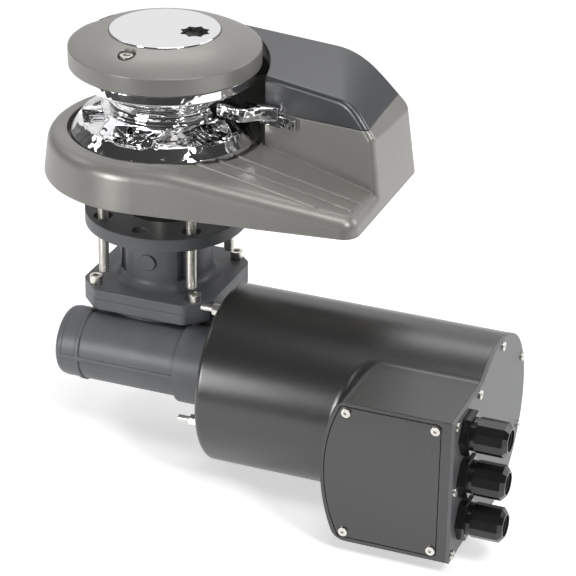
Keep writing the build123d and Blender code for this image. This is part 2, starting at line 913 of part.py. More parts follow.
# Screws that hold the neck on the gearbox
with BuildPart() as neck_screws:
    for x in (-screw_reach, screw_reach):
        for y in (-screw_reach, screw_reach):
            add(screw(
                Plane(origin=(x, y, foot_top_z)),
                screw_r, screw_l, screw_head_r, screw_head_h, 5.0,
            ))
write(neck_screws, "neck_screws")

# Gearbox casting: the wheel's housing and the worm's tube
case_top_z = neck_foot_z
with BuildPart() as gearbox_case:
    add(foot_plate(case_top_z, -case_plate_t))
    with BuildSketch(Plane.XY.offset(case_top_z)):
        Circle(case_r)
    extrude(amount=case_foot_z - case_top_z)
    fillet(gearbox_case.edges().group_by(Axis.Z)[0], 5)
    with BuildSketch(worm_plane(tube_left_x)):
        Circle(worm_tube_r)
    extrude(amount=tube_right_x - tube_left_x)
    with BuildSketch(worm_plane(tube_step_x)):
        Circle(tube_step_r)
    extrude(amount=tube_right_x - tube_step_x)
    with BuildSketch(worm_plane(tube_ring_x)):
        Circle(tube_ring_r)
    extrude(amount=tube_ring_w)
    with BuildSketch(worm_plane(tube_left_x)):
        with Locations((-worm_tube_r, 0)):
            Rectangle(2 * parting_h, parting_w)
    extrude(amount=tube_step_x - tube_left_x)
    with BuildSketch(Plane.XY.offset(case_top_z)):
        Circle(shaft_collar_r + 4)
    extrude(amount=-case_plate_t, mode=Mode.SUBTRACT)
    with BuildSketch(Plane.XY.offset(wheel_low_z - 4)):
        Circle(wheel_tip_r + wheel_room)
    extrude(amount=case_top_z - case_plate_t - wheel_low_z + 4, mode=Mode.SUBTRACT)
    with BuildSketch(Plane.XY.offset(foot_bearing_z)):
        Circle(foot_bearing_r)
    extrude(amount=bearing_t, mode=Mode.SUBTRACT)
    with BuildSketch(worm_plane(tube_left_x)):
        Circle(worm_bearing_r)
    extrude(amount=tube_right_x - tube_left_x, mode=Mode.SUBTRACT)
    with BuildSketch(worm_plane(tube_right_x)):
        with PolarLocations(adapter_screw_reach, 4, start_angle=45):
            Circle(adapter_screw_r)
    extrude(amount=adapter_seat_x - adapter_screw_l - tube_right_x, mode=Mode.SUBTRACT)
    with Locations((0, 0, case_top_z)):
        with GridLocations(2 * screw_reach, 2 * screw_reach, 2, 2):
            Cylinder(
                screw_r, screw_l - foot_t,
                align=(Align.CENTER, Align.CENTER, Align.MAX), mode=Mode.SUBTRACT,
            )
write(gearbox_case, "gearbox_case")

with BuildPart() as worm_end_cap:
    with BuildSketch(worm_plane(tube_left_x)):
        Circle(worm_tube_r - 0.5)
    extrude(amount=-end_cap_t)
    fillet(worm_end_cap.edges().group_by(Axis.X)[0], 4)
    with BuildSketch(worm_plane(tube_left_x)):
        Circle(worm_bearing_r)
    extrude(amount=worm_bearing_x - tube_left_x)
write(worm_end_cap, "worm_end_cap")

# Worm: a right-handed thread on its shaft, and the bronze wheel that it turns
flank = tan(radians(pressure_angle))
tip_half = tooth_w / 2 - gear_module * flank
root_half = tooth_w / 2 + 1.25 * gear_module * flank
thread_turns = int(worm_l / worm_pitch) + 2
thread_start = -worm_pitch * (thread_turns // 2)
with BuildPart() as worm_thread:
    with BuildLine():
        lead = Helix(
            pitch=worm_pitch, height=worm_pitch * thread_turns,
            radius=worm_pitch_r, center=(0, 0, thread_start),
        )
    with BuildSketch(Plane(origin=lead @ 0, x_dir=(1, 0, 0), z_dir=lead % 0)):
        Polygon(
            (worm_root_r - worm_pitch_r - 0.3, -root_half),
            (gear_module, -tip_half),
            (gear_module, tip_half),
            (worm_root_r - worm_pitch_r - 0.3, root_half),
            align=None,
        )
    sweep(path=lead, is_frenet=True)
    with Locations((0, 0, -worm_l / 2)):
        Cylinder(
            worm_tip_r, worm_l,
            align=(Align.CENTER, Align.CENTER, Align.MIN), mode=Mode.INTERSECT,
        )
with BuildPart() as worm_shaft:
    with BuildSketch(worm_plane(-worm_l / 2)):
        Circle(worm_root_r)
    extrude(amount=worm_l)
    add(worm_thread.part.moved(worm_line.location))
    with BuildSketch(worm_plane(worm_bearing_x)):
        Circle(worm_shaft_r)
    extrude(amount=coupling_x - worm_bearing_x)
write(worm_shaft, "worm_shaft")

with BuildPart() as worm_wheel:
    with BuildSketch(Plane.XY.offset(wheel_low_z)):
        Circle(wheel_root_r)
        tooth_turn = 360 / wheel_teeth
        with PolarLocations(wheel_r, wheel_teeth, start_angle=-90 + tooth_turn / 2):
            Polygon(
                (wheel_root_r - wheel_r - 0.5, -root_half),
                (gear_module, -tip_half),
                (gear_module, tip_half),
                (wheel_root_r - wheel_r - 0.5, root_half),
                align=None,
            )
        Circle(shaft_r, mode=Mode.SUBTRACT)
    extrude(amount=wheel_t)
    add(key_slot(shaft_r, wheel_low_z, wheel_high_z), mode=Mode.SUBTRACT)
write(worm_wheel, "worm_wheel")

with BuildPart() as worm_bearings:
    for x in (worm_bearing_x, -worm_bearing_x - worm_bearing_t):
        add(bearing(worm_plane(x), worm_bearing_r, worm_shaft_r + running_gap,
                    worm_bearing_t))
write(worm_bearings, "worm_bearings")

# Motor adapter: the round plate between the gearbox and the motor
rotor_bearing_x = bell_left_x - worm_bearing_t
with BuildPart() as motor_adapter:
    with BuildSketch(worm_plane(tube_right_x)):
        Circle(adapter_r)
    extrude(amount=motor_x - tube_right_x)
    with BuildSketch(worm_plane(motor_x)):
        Circle(spigot_r)
    extrude(amount=motor_wall)
    with BuildSketch(worm_plane(tube_right_x)):
        Circle(worm_bearing_r)
        with PolarLocations(adapter_screw_reach, 4, start_angle=45):
            Circle(adapter_screw_r)
    extrude(amount=bell_left_x - tube_right_x, mode=Mode.SUBTRACT)
    with BuildSketch(worm_plane(adapter_seat_x)):
        with PolarLocations(adapter_screw_reach, 4, start_angle=45):
            Circle(adapter_head_r)
    extrude(amount=bell_left_x - adapter_seat_x, mode=Mode.SUBTRACT)
write(motor_adapter, "motor_adapter")

with BuildPart() as adapter_screws:
    with BuildSketch(worm_plane(adapter_seat_x - adapter_screw_l)):
        with PolarLocations(adapter_screw_reach, 4, start_angle=45):
            Circle(adapter_screw_r)
    extrude(amount=adapter_screw_l)
    with BuildSketch(worm_plane(adapter_seat_x)):
        with PolarLocations(adapter_screw_reach, 4, start_angle=45):
            Circle(adapter_head_r)
            RegularPolygon(adapter_screw_r * 0.8, 6, mode=Mode.SUBTRACT)
    extrude(amount=2 * adapter_screw_r)
write(adapter_screws, "adapter_screws")

# Long bolts that clamp the cover, the bells and the yoke together
bolt_right_x = rear_bell_x + rear_bell_t
with BuildPart() as motor_bolts:
    with BuildSketch(worm_plane(bolt_left_x)):
        with PolarLocations(bolt_reach, 4, start_angle=bolt_turn):
            Circle(bolt_r)
    extrude(amount=bolt_right_x - bolt_left_x)
    for x in (motor_x - bolt_nut_h, bolt_right_x):
        with BuildSketch(worm_plane(x)):
            with PolarLocations(bolt_reach, 4, start_angle=bolt_turn):
                RegularPolygon(bolt_nut_w / 2, 6, major_radius=False)
        extrude(amount=bolt_nut_h)
write(motor_bolts, "motor_bolts")

with BuildPart() as rotor_bearings:
    for x in (rotor_bearing_x, rear_bell_x):
        add(bearing(worm_plane(x), worm_bearing_r, worm_shaft_r + running_gap,
                    worm_bearing_t))
write(rotor_bearings, "rotor_bearings")

# Coupling sleeve between the worm's shaft and the rotor's
with BuildPart() as shaft_coupling:
    with BuildSketch(worm_plane(coupling_x - coupling_l / 2)):
        Circle(coupling_r)
        Circle(worm_shaft_r, mode=Mode.SUBTRACT)
    extrude(amount=coupling_l)
    chamfer(shaft_coupling.edges().filter_by(
        lambda e: abs(e.radius - coupling_r) < 0.01 if e.geom_type == GeomType.CIRCLE else False
    ), 1)
write(shaft_coupling, "shaft_coupling")

# Rotor: shaft, slotted core, winding and commutator
core_r = yoke_r - yoke_t - magnet_t - air_gap
with BuildPart() as rotor_shaft:
    with BuildSketch(worm_plane(coupling_x)):
        Circle(worm_shaft_r)
    extrude(amount=rear_bell_x + rear_bell_t - coupling_x)
write(rotor_shaft, "rotor_shaft")

with BuildPart() as armature_core:
    with BuildSketch(worm_plane(armature_left_x)):
        Circle(core_r)
        Circle(worm_shaft_r, mode=Mode.SUBTRACT)
        with PolarLocations(core_r - slot_depth / 2, armature_slots):
            Rectangle(slot_depth + 1, slot_w, mode=Mode.SUBTRACT)
    extrude(amount=armature_right_x - armature_left_x)
write(armature_core, "armature_core")

with BuildPart() as armature_winding:
    with BuildSketch(worm_plane(armature_left_x)):
        with PolarLocations(core_r - slot_depth / 2, armature_slots):
            Rectangle(slot_depth - winding_skin, slot_w)
    extrude(amount=armature_right_x - armature_left_x)
    for x in (armature_left_x - winding_l, armature_right_x):
        with BuildSketch(worm_plane(x)):
            Circle(core_r - winding_skin)
            Circle(commutator_r, mode=Mode.SUBTRACT)
        extrude(amount=winding_l)
write(armature_winding, "armature_winding")

with BuildPart() as commutator:
    with BuildSketch(worm_plane(commutator_left_x)):
        Circle(commutator_r)
        Circle(worm_shaft_r, mode=Mode.SUBTRACT)
        with PolarLocations(commutator_r, commutator_bars):
            Rectangle(3, 0.8, mode=Mode.SUBTRACT)
    extrude(amount=commutator_right_x - commutator_left_x)
write(commutator, "commutator")


def bell(x, thick, bore_r):
    """A round end bell with the holes of the long bolts."""
    with BuildPart() as plate:
        with BuildSketch(worm_plane(x)):
            Circle(bell_r)
            Circle(bore_r, mode=Mode.SUBTRACT)
            with PolarLocations(bolt_reach, 4, start_angle=bolt_turn):
                Circle(bolt_r + seat_gap, mode=Mode.SUBTRACT)
        extrude(amount=thick)
    return plate.part


# Stator: two end bells, the yoke tube and four magnets
yoke_left_x = bell_left_x + bell_t
with BuildPart() as front_bell:
    add(bell(bell_left_x, bell_t, coupling_r))
write(front_bell, "front_bell")
with BuildPart() as rear_bell:
    add(bell(rear_bell_x, rear_bell_t, worm_bearing_r))
write(rear_bell, "rear_bell")

with BuildPart() as stator_yoke:
    with BuildSketch(worm_plane(yoke_left_x)):
        Circle(yoke_r)
        Circle(yoke_r - yoke_t, mode=Mode.SUBTRACT)
    extrude(amount=rear_bell_x - yoke_left_x)
write(stator_yoke, "stator_yoke")

with BuildPart() as magnets:
    with BuildSketch(worm_plane(armature_left_x)):
        Circle(yoke_r - yoke_t)
        Circle(yoke_r - yoke_t - magnet_t, mode=Mode.SUBTRACT)
        for turn in (magnet_turn, magnet_turn + 90):
            Rectangle(2 * yoke_r, magnet_gap, rotation=turn, mode=Mode.SUBTRACT)
    extrude(amount=armature_right_x - armature_left_x)
write(magnets, "magnets")

# Brushes on their holder
brush_low_r = commutator_r + running_gap
brush_mid_r = brush_low_r + brush_l / 2
holder_x = brush_x + brush_t / 2 + holder_wall
with BuildPart() as brush_holder:
    with BuildSketch(worm_plane(brush_x - brush_t / 2 - holder_wall)):
        with PolarLocations(brush_mid_r + 2, 2):
            Rectangle(brush_l - 2, brush_w + 2 * holder_wall)
    extrude(amount=brush_t + 2 * holder_wall)
    with BuildSketch(worm_plane(holder_x)):
        Circle(yoke_r - yoke_t)
        Circle(commutator_r + 2, mode=Mode.SUBTRACT)
    extrude(amount=holder_t)
    with BuildSketch(worm_plane(brush_x - brush_t / 2)):
        with PolarLocations(brush_mid_r, 2):
            Rectangle(2 * brush_l, brush_w)
    extrude(amount=brush_t, mode=Mode.SUBTRACT)
write(brush_holder, "brush_holder")

with BuildPart() as brushes:
    with BuildSketch(worm_plane(brush_x - brush_t / 2)):
        with PolarLocations(brush_mid_r, 2):
            Rectangle(brush_l, brush_w)
        Circle(brush_low_r, mode=Mode.SUBTRACT)
    extrude(amount=brush_t)
write(brushes, "brushes")

def box_sketch(inset, plane):
    """The front outline of the junction box; its left side bulges."""
    right_x = motor_end_x - inset
    half = box_half_z - inset
    with BuildSketch(plane) as outline:
        with BuildLine():
            left = ThreePointArc(
                (box_corner_x + inset, box_mid_z + half),
                (box_left_x + inset, box_mid_z),
                (box_corner_x + inset, box_mid_z - half),
            )
            Polyline(
                left @ 1, (right_x, box_mid_z - half), (right_x, box_mid_z + half), left @ 0
            )
        make_face()
        fillet(outline.vertices().sort_by(Axis.X)[:2], box_corner_r)
    return outline.sketch


front_plane = Plane.XZ.offset(-box_front_y)


def lid_sketch(inset, plane):
    """The outline of the junction box's lid, inside the rim of the box."""
    half = lid_top - inset
    with BuildSketch(plane) as outline:
        with BuildLine():
            left = ThreePointArc(
                (lid_corner_x + inset, box_mid_z + half),
                (lid_left_x + inset, box_mid_z),
                (lid_corner_x + inset, box_mid_z - half),
            )
            Polyline(
                left @ 1, (lid_right_x - inset, box_mid_z - half),
                (lid_right_x - inset, box_mid_z + half), left @ 0,
            )
        make_face()
        fillet(outline.vertices(), lid_corner_r)
    return outline.sketch


# Room in the junction box, open to the end plate and behind the lid
with BuildPart() as box_room:
    add(box_sketch(box_skin, Plane.XZ.offset(-lid_front_y - lid_seat_t)))
    extrude(amount=box_depth - lid_t - lid_seat_t, dir=(0, 1, 0))
    with BuildSketch(Plane.XZ.offset(-lid_front_y)):
        with Locations(((box_corner_x + lid_right_x) / 2, box_mid_z)):
            Rectangle(lid_right_x - box_corner_x - lid_rim, 2 * lid_top - lid_rim)
    extrude(amount=box_depth / 2, dir=(0, 1, 0))
    with BuildSketch(Plane.YZ.offset(motor_end_x)):
        with Locations((box_front_y / 2 + worm_y / 2, box_mid_z)):
            Rectangle(box_depth - 2 * box_skin, 2 * box_half_z - 2 * box_skin)
    extrude(amount=-box_skin - 1)
    with BuildSketch(worm_plane(motor_x)):
        Circle(motor_r)
    extrude(amount=motor_end_x - motor_x, mode=Mode.SUBTRACT)

# Motor cover: a drum with the junction box moulded on its side
with BuildPart() as motor_cover:
    with BuildSketch(worm_plane(motor_x)):
        Circle(motor_r)
    extrude(amount=motor_end_x - motor_x)
    fillet(motor_cover.edges().group_by(Axis.X)[0], motor_edge_r)
    add(box_sketch(0, front_plane))
    extrude(amount=box_depth, dir=(0, 1, 0))
    joins = motor_cover.edges().filter_by(
        lambda e: box_front_y + 20 < e.center().Y < worm_y
        and box_left_x - 10 < e.center().X < motor_end_x - 5
        and e.bounding_box().size.X > 20
    )
    fillet(joins, box_blend_r)
    add(box_room.part, mode=Mode.SUBTRACT)
    # posts for the screws, and the plinth of the terminal block
    with BuildSketch(Plane.XZ.offset(-lid_front_y)):
        with Locations(*lid_screw_points):
            Circle(post_r)
    extrude(amount=-post_l)
    with BuildSketch(worm_plane(motor_end_x)):
        with Locations(*plate_screw_points):
            Circle(post_r)
    extrude(amount=-post_l)
    with BuildSketch(Plane.XZ.offset(-block_front_y - block_t)):
        with Locations((block_x, gear_z)):
            Rectangle(block_l, block_h)
    extrude(amount=-block_plinth_l)
    # room for the motor
    with BuildSketch(worm_plane(bell_left_x)):
        Circle(motor_r - motor_skin)
    extrude(amount=motor_end_x - post_l - bell_left_x, mode=Mode.SUBTRACT)
    with BuildSketch(worm_plane(motor_end_x)):
        Circle(motor_r - motor_skin)
        with Locations(*plate_screw_points):
            Circle(post_r, mode=Mode.SUBTRACT)
    extrude(amount=-post_l, mode=Mode.SUBTRACT)
    with BuildSketch(worm_plane(motor_x)):
        Circle(spigot_r)
        with PolarLocations(bolt_reach, 4, start_angle=bolt_turn):
            Circle(bolt_r + seat_gap)
    extrude(amount=motor_wall, mode=Mode.SUBTRACT)
    # lid recess, screw holes and the way from the glands into the drum
    add(lid_sketch(-lid_gap, front_plane))
    extrude(amount=lid_t, dir=(0, 1, 0), mode=Mode.SUBTRACT)
    with BuildSketch(Plane.XZ.offset(-lid_front_y)):
        with Locations(*lid_screw_points):
            Circle(small_screw_r)
    extrude(amount=lid_t - small_screw_l, mode=Mode.SUBTRACT)
    with BuildSketch(worm_plane(motor_end_x)):
        with Locations(*plate_screw_points):
            Circle(small_screw_r)
    extrude(amount=end_plate_t - small_screw_l, mode=Mode.SUBTRACT)
    with BuildSketch(Plane.YZ.offset(motor_end_x)):
        with Locations(*gland_points):
            Circle(gland_room_r)
    extrude(amount=-gland_room_l, mode=Mode.SUBTRACT)
write(motor_cover, "motor_cover")


# End plate of the motor, drilled for the glands and its own screws
with BuildPart() as end_plate:
    with BuildSketch(worm_plane(motor_end_x)):
        with Locations(((box_front_y - worm_y) / 2, box_mid_z - gear_z)):
            Rectangle(box_depth, 2 * box_half_z)
        Circle(motor_r)
    extrude(amount=end_plate_t)
    joins = end_plate.edges().filter_by(Axis.X).filter_by(
        lambda e: box_front_y + 20 < e.center().Y < worm_y
    )
    fillet(joins, box_blend_r)
    with BuildSketch(Plane.YZ.offset(motor_end_x)):
        with Locations(*gland_points):
            Circle(gland_thread_r)
    extrude(amount=end_plate_t, mode=Mode.SUBTRACT)
    with BuildSketch(worm_plane(motor_end_x)):
        with Locations(*plate_screw_points):
            Circle(small_screw_r)
    extrude(amount=end_plate_t, mode=Mode.SUBTRACT)
write(end_plate, "end_plate")

# Lid of the junction box
with BuildPart() as terminal_lid:
    add(lid_sketch(0, front_plane))
    extrude(amount=lid_t, dir=(0, 1, 0))
    with BuildSketch(front_plane):
        with Locations(*lid_screw_points):
            Circle(small_screw_r)
    extrude(amount=-lid_t, mode=Mode.SUBTRACT)
write(terminal_lid, "terminal_lid")


def pan_screws(plane, points):
    """Small pan-head screws whose heads stand on a plane."""
    with BuildPart() as group:
        with BuildSketch(plane):
            with Locations(*points):
                Circle(small_head_r)
        extrude(amount=small_head_h)
        with BuildSketch(plane):
            with Locations(*points):
                Circle(small_screw_r)
        extrude(amount=-small_screw_l)
        with BuildSketch(plane.offset(small_head_h)):
            with Locations(*points):
                RegularPolygon(small_screw_r * 0.6, 6, major_radius=False)
        extrude(amount=-small_head_h * 0.6, mode=Mode.SUBTRACT)
    return group.part


with BuildPart() as lid_screws:
    add(pan_screws(front_plane, lid_screw_points))
write(lid_screws, "lid_screws")
with BuildPart() as end_plate_screws:
    add(pan_screws(worm_plane(motor_end_x + end_plate_t), plate_screw_points))
write(end_plate_screws, "end_plate_screws")

# Terminal block with three studs and their nuts
block_plane = Plane.XZ.offset(-block_front_y - block_t)
terminal_points = [(block_x, gear_z + k * terminal_pitch) for k in (-1, 0, 1)]
with BuildPart() as terminal_block:
    with BuildSketch(block_plane):
        with Locations((block_x, gear_z)):
            RectangleRounded(block_l, block_h, 2)
    extrude(amount=block_t)
    with BuildSketch(block_plane.offset(block_t)):
        with Locations(*terminal_points):
            Circle(screw_r)
    extrude(amount=-block_t, mode=Mode.SUBTRACT)
write(terminal_block, "terminal_block")
with BuildPart() as terminal_studs:
    with BuildSketch(block_plane):
        with Locations(*terminal_points):
            Circle(screw_r)
    extrude(amount=block_t + terminal_stud_l)
    with BuildSketch(block_plane.offset(block_t)):
        with Locations(*terminal_points):
            RegularPolygon(screw_head_r, 6, major_radius=False)
    extrude(amount=screw_head_r / 2)
write(terminal_studs, "terminal_studs")

# Cable glands: body through the plate, domed nut, rubber seal and lock nut
hex_x = motor_end_x + end_plate_t
nut_x = hex_x + gland_hex_t
gland_plane = Plane.YZ.offset(motor_end_x)
with BuildPart() as gland_bodies:
    with BuildSketch(Plane.YZ.offset(motor_end_x - gland_tail_l)):
        with Locations(*gland_points):
            Circle(gland_thread_r)
    extrude(amount=nut_x + gland_neck_l - motor_end_x + gland_tail_l)
    with BuildSketch(Plane.YZ.offset(hex_x)):
        with Locations(*gland_points):
            RegularPolygon(gland_flat / 2, 6, major_radius=False)
    extrude(amount=gland_hex_t)
    chamfer(gland_bodies.edges().filter_by(GeomType.LINE).filter_by(
        lambda e: abs(e.center().X - nut_x) < 0.01
    ), 0.8)
    with BuildSketch(Plane.YZ.offset(motor_end_x - gland_tail_l)):
        with Locations(*gland_points):
            Circle(gland_mouth_r)
    extrude(amount=gland_tip_x - motor_end_x, mode=Mode.SUBTRACT)
write(gland_bodies, "gland_bodies")

dome_x = nut_x + gland_neck_l
with BuildPart() as gland_nuts:
    with BuildSketch(Plane.YZ.offset(dome_x)):
        with Locations(*gland_points):
            RegularPolygon(gland_nut_r, gland_flutes, major_radius=False)
    extrude(amount=gland_tip_x - dome_x)
    tips = gland_nuts.edges().filter_by(lambda e: abs(e.center().X - gland_tip_x) < 0.01)
    chamfer(tips, gland_nut_r - gland_mouth_r - 1.5, gland_nut_r - gland_mouth_r - 1)
    with BuildSketch(Plane.YZ.offset(dome_x)):
        with Locations(*gland_points):
            Circle(gland_mouth_r)
    extrude(amount=gland_tip_x - dome_x, mode=Mode.SUBTRACT)
write(gland_nuts, "gland_nuts")

with BuildPart() as gland_seals:
    with BuildSketch(Plane.YZ.offset(dome_x)):
        with Locations(*gland_points):
            Circle(gland_mouth_r)
            Circle(gland_mouth_r - seal_skin, mode=Mode.SUBTRACT)
    extrude(amount=gland_tip_x - dome_x - gland_lip)
write(gland_seals, "gland_seals")

with BuildPart() as gland_lock_nuts:
    with BuildSketch(gland_plane):
        with Locations(*gland_points):
            RegularPolygon(lock_nut_flat / 2, 6, major_radius=False)
            Circle(gland_thread_r, mode=Mode.SUBTRACT)
    extrude(amount=-lock_nut_t)
write(gland_lock_nuts, "gland_lock_nuts")
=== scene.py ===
import json
from math import cos, pi, radians, sin

import bmesh
import bpy
from mathutils import Matrix, Vector


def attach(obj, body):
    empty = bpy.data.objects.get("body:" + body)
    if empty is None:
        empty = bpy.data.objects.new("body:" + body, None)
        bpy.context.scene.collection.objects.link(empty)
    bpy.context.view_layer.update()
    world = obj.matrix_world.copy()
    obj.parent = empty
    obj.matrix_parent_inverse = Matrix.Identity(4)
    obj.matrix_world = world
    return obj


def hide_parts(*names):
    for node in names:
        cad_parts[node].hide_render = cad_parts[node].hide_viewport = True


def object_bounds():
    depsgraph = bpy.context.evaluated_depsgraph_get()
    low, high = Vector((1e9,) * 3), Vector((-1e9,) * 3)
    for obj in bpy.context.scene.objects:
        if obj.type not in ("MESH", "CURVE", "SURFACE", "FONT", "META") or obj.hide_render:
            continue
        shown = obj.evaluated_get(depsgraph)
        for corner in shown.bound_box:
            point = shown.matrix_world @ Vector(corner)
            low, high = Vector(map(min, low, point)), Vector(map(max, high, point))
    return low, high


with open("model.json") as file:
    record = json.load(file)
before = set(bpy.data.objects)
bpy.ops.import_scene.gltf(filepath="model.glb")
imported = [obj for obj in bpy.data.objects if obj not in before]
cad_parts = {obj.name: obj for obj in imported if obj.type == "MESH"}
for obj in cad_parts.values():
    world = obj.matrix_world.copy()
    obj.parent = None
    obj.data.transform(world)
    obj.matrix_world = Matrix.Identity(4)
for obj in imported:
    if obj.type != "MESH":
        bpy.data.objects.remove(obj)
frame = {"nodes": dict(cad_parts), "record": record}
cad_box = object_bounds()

MM = 0.001

# Camera, in metres and degrees
CAMERA_PLACE = (0.7214, -1.5982, 0.7699)
CAMERA_HEADING = 21.22
CAMERA_TILT = 26.53
CAMERA_ROLL = 0.84
CAMERA_LENS = 155.76
CAMERA_SHIFT = (0.0016, 0.0010)

# Soft boxes: name, place, aim, size in metres, power in watts
PART_MIDDLE = (0.1, 0, 0)
LAMPS = [
    ("key", (-0.62, -1.25, 0.16), (0.1, 0, -0.08), (0.30, 0.45), 9),
    ("side", (1.15, -0.72, 1.10), (0.15, 0, 0), (0.3, 0.4), 11),
    ("top", (0.35, -0.5, 1.6), PART_MIDDLE, (0.8, 0.6), 9),
    ("left", (-1.3, -0.2, 1.0), PART_MIDDLE, (0.6, 0.6), 2.2),
    ("back", (-0.42, 0.95, 1.55), PART_MIDDLE, (1.1, 0.6), 4),
    ("right", (1.3, 0.8, 0.6), PART_MIDDLE, (0.8, 0.6), 7),
]

# Room: its bright direction, and its grey from away from there to there
BRIGHT_WAY = (-0.32, 0.75, 0.57)
ROOM_GREYS = [(0.0, 0.05), (0.40, 0.04), (0.64, 0.14), (0.92, 0.86), (1.0, 0.92)]

# Floor and flag
FLOOR_SIZE = 30
FLOOR_GAP = 0.5 * MM
FLOOR_GREY = 0.8
FLOOR_GLOW = 0.50
FLAG_MIDDLE = (-0.2, -1.55)
FLAG_SIZE = (4, 2.2)
FLAG_LIFT = 2 * MM
FLAG_GREY = 0.02

# The part of the noise's range that is spread over a material's values
NOISE_SPAN = (0.3, 0.7)
BEVEL_SAMPLES = 6

# Deck studs
STUD_REACH = 52 * MM
STUD_COUNT = 4
STUD_TURN = 45
STUD_TOP = 1.5 * MM
STUD_FOOT = -81.2 * MM
THREAD_PITCH = 1.25 * MM
THREAD_CREST_R = 4.0 * MM
THREAD_ROOT_R = 3.45 * MM
THREAD_LEAD_IN = 0.4 * MM
THREAD_STEEPNESS = 2.4
THREAD_SIDES = 24
THREAD_STEPS = 4


def make_camera():
    """The camera that the photograph was taken with, fitted to the part."""
    heading, tilt, roll = radians(CAMERA_HEADING), radians(CAMERA_TILT), radians(CAMERA_ROLL)
    back = Vector((sin(heading) * cos(tilt), -cos(heading) * cos(tilt), sin(tilt)))
    right = Vector((cos(heading), sin(heading), 0))
    up = back.cross(right)
    right, up = (
        right * cos(roll) + up * sin(roll),
        up * cos(roll) - right * sin(roll),
    )
    data = bpy.data.cameras.new("camera")
    data.lens = CAMERA_LENS
    data.sensor_width = 36
    data.shift_x, data.shift_y = CAMERA_SHIFT
    data.clip_end = 50
    camera = bpy.data.objects.new("camera", data)
    bpy.context.collection.objects.link(camera)
    turn = Matrix((right, up, back)).transposed().to_4x4()
    camera.matrix_world = Matrix.Translation(CAMERA_PLACE) @ turn
    bpy.context.scene.camera = camera


def area_light(name, place, aim, size, power):
    data = bpy.data.lights.new(name, "AREA")
    data.shape = "RECTANGLE"
    data.size, data.size_y = size
    data.energy = power
    lamp = bpy.data.objects.new(name, data)
    bpy.context.collection.objects.link(lamp)
    lamp.location = place
    lamp.rotation_euler = (Vector(aim) - Vector(place)).to_track_quat("-Z", "Y").to_euler()


def make_light():
    """Soft boxes round the part, and a room that is bright behind."""
    for lamp in LAMPS:
        area_light(*lamp)
    world = bpy.data.worlds.new("studio")
    bpy.context.scene.world = world
    world.use_nodes = True
    nodes, links = world.node_tree.nodes, world.node_tree.links
    nodes.clear()
    out = nodes.new("ShaderNodeOutputWorld")
    room = nodes.new("ShaderNodeBackground")
    where = nodes.new("ShaderNodeTexCoord")
    lean = nodes.new("ShaderNodeVectorMath")
    lean.operation = "DOT_PRODUCT"
    lean.inputs[1].default_value = BRIGHT_WAY
    ramp = nodes.new("ShaderNodeValToRGB")
    while len(ramp.color_ramp.elements) < len(ROOM_GREYS):
        ramp.color_ramp.elements.new(0.5)
    for element, (place, grey) in zip(ramp.color_ramp.elements, ROOM_GREYS):
        element.position = place
        element.color = (grey, grey, grey, 1)
    links.new(where.outputs["Generated"], lean.inputs[0])
    links.new(lean.outputs["Value"], ramp.inputs[0])
    links.new(ramp.outputs[0], room.inputs["Color"])
    links.new(room.outputs[0], out.inputs[0])


def make_floor():
    """A white floor that keeps the part's shadow and glows where it is seen or mirrored."""
    low = cad_box[0][2]
    bpy.ops.mesh.primitive_plane_add(size=FLOOR_SIZE, location=(0, 0, low - FLOOR_GAP))
    floor = bpy.context.object
    floor.name = "floor"
    paint = bpy.data.materials.new("floor_white")
    paint.use_nodes = True
    nodes, links = paint.node_tree.nodes, paint.node_tree.links
    nodes.clear()
    out = nodes.new("ShaderNodeOutputMaterial")
    add = nodes.new("ShaderNodeAddShader")
    lit = nodes.new("ShaderNodeBsdfDiffuse")
    lit.inputs["Color"].default_value = (FLOOR_GREY, FLOOR_GREY, FLOOR_GREY, 1)
    glow = nodes.new("ShaderNodeEmission")
    glow.inputs["Color"].default_value = (1, 1, 1, 1)
    rays = nodes.new("ShaderNodeLightPath")
    seen = nodes.new("ShaderNodeMath")
    seen.operation = "MAXIMUM"
    shown = nodes.new("ShaderNodeMath")
    shown.operation = "MAXIMUM"
    scale = nodes.new("ShaderNodeMath")
    scale.operation = "MULTIPLY"
    scale.inputs[1].default_value = FLOOR_GLOW
    links.new(rays.outputs["Is Camera Ray"], seen.inputs[0])
    links.new(rays.outputs["Is Transmission Ray"], seen.inputs[1])
    links.new(seen.outputs[0], shown.inputs[0])
    links.new(rays.outputs["Is Glossy Ray"], shown.inputs[1])
    links.new(shown.outputs[0], scale.inputs[0])
    links.new(scale.outputs[0], glow.inputs["Strength"])
    links.new(lit.outputs[0], add.inputs[0])
    links.new(glow.outputs[0], add.inputs[1])
    links.new(add.outputs[0], out.inputs[0])
    floor.data.materials.append(paint)


def make_flag():
    """A black cloth on the floor in front, which darkens what the metal mirrors."""
    low = cad_box[0][2]
    bpy.ops.mesh.primitive_plane_add(size=1, location=(*FLAG_MIDDLE, low + FLAG_LIFT))
    flag = bpy.context.object
    flag.name = "flag"
    flag.scale = (*FLAG_SIZE, 1)
    flag.visible_camera = False
    flag.visible_shadow = False
    cloth = bpy.data.materials.new("flag_black")
    cloth.use_nodes = True
    shader = cloth.node_tree.nodes["Principled BSDF"]
    shader.inputs["Base Color"].default_value = (FLAG_GREY, FLAG_GREY, FLAG_GREY, 1)
    shader.inputs["Roughness"].default_value = 1
    flag.data.materials.append(cloth)


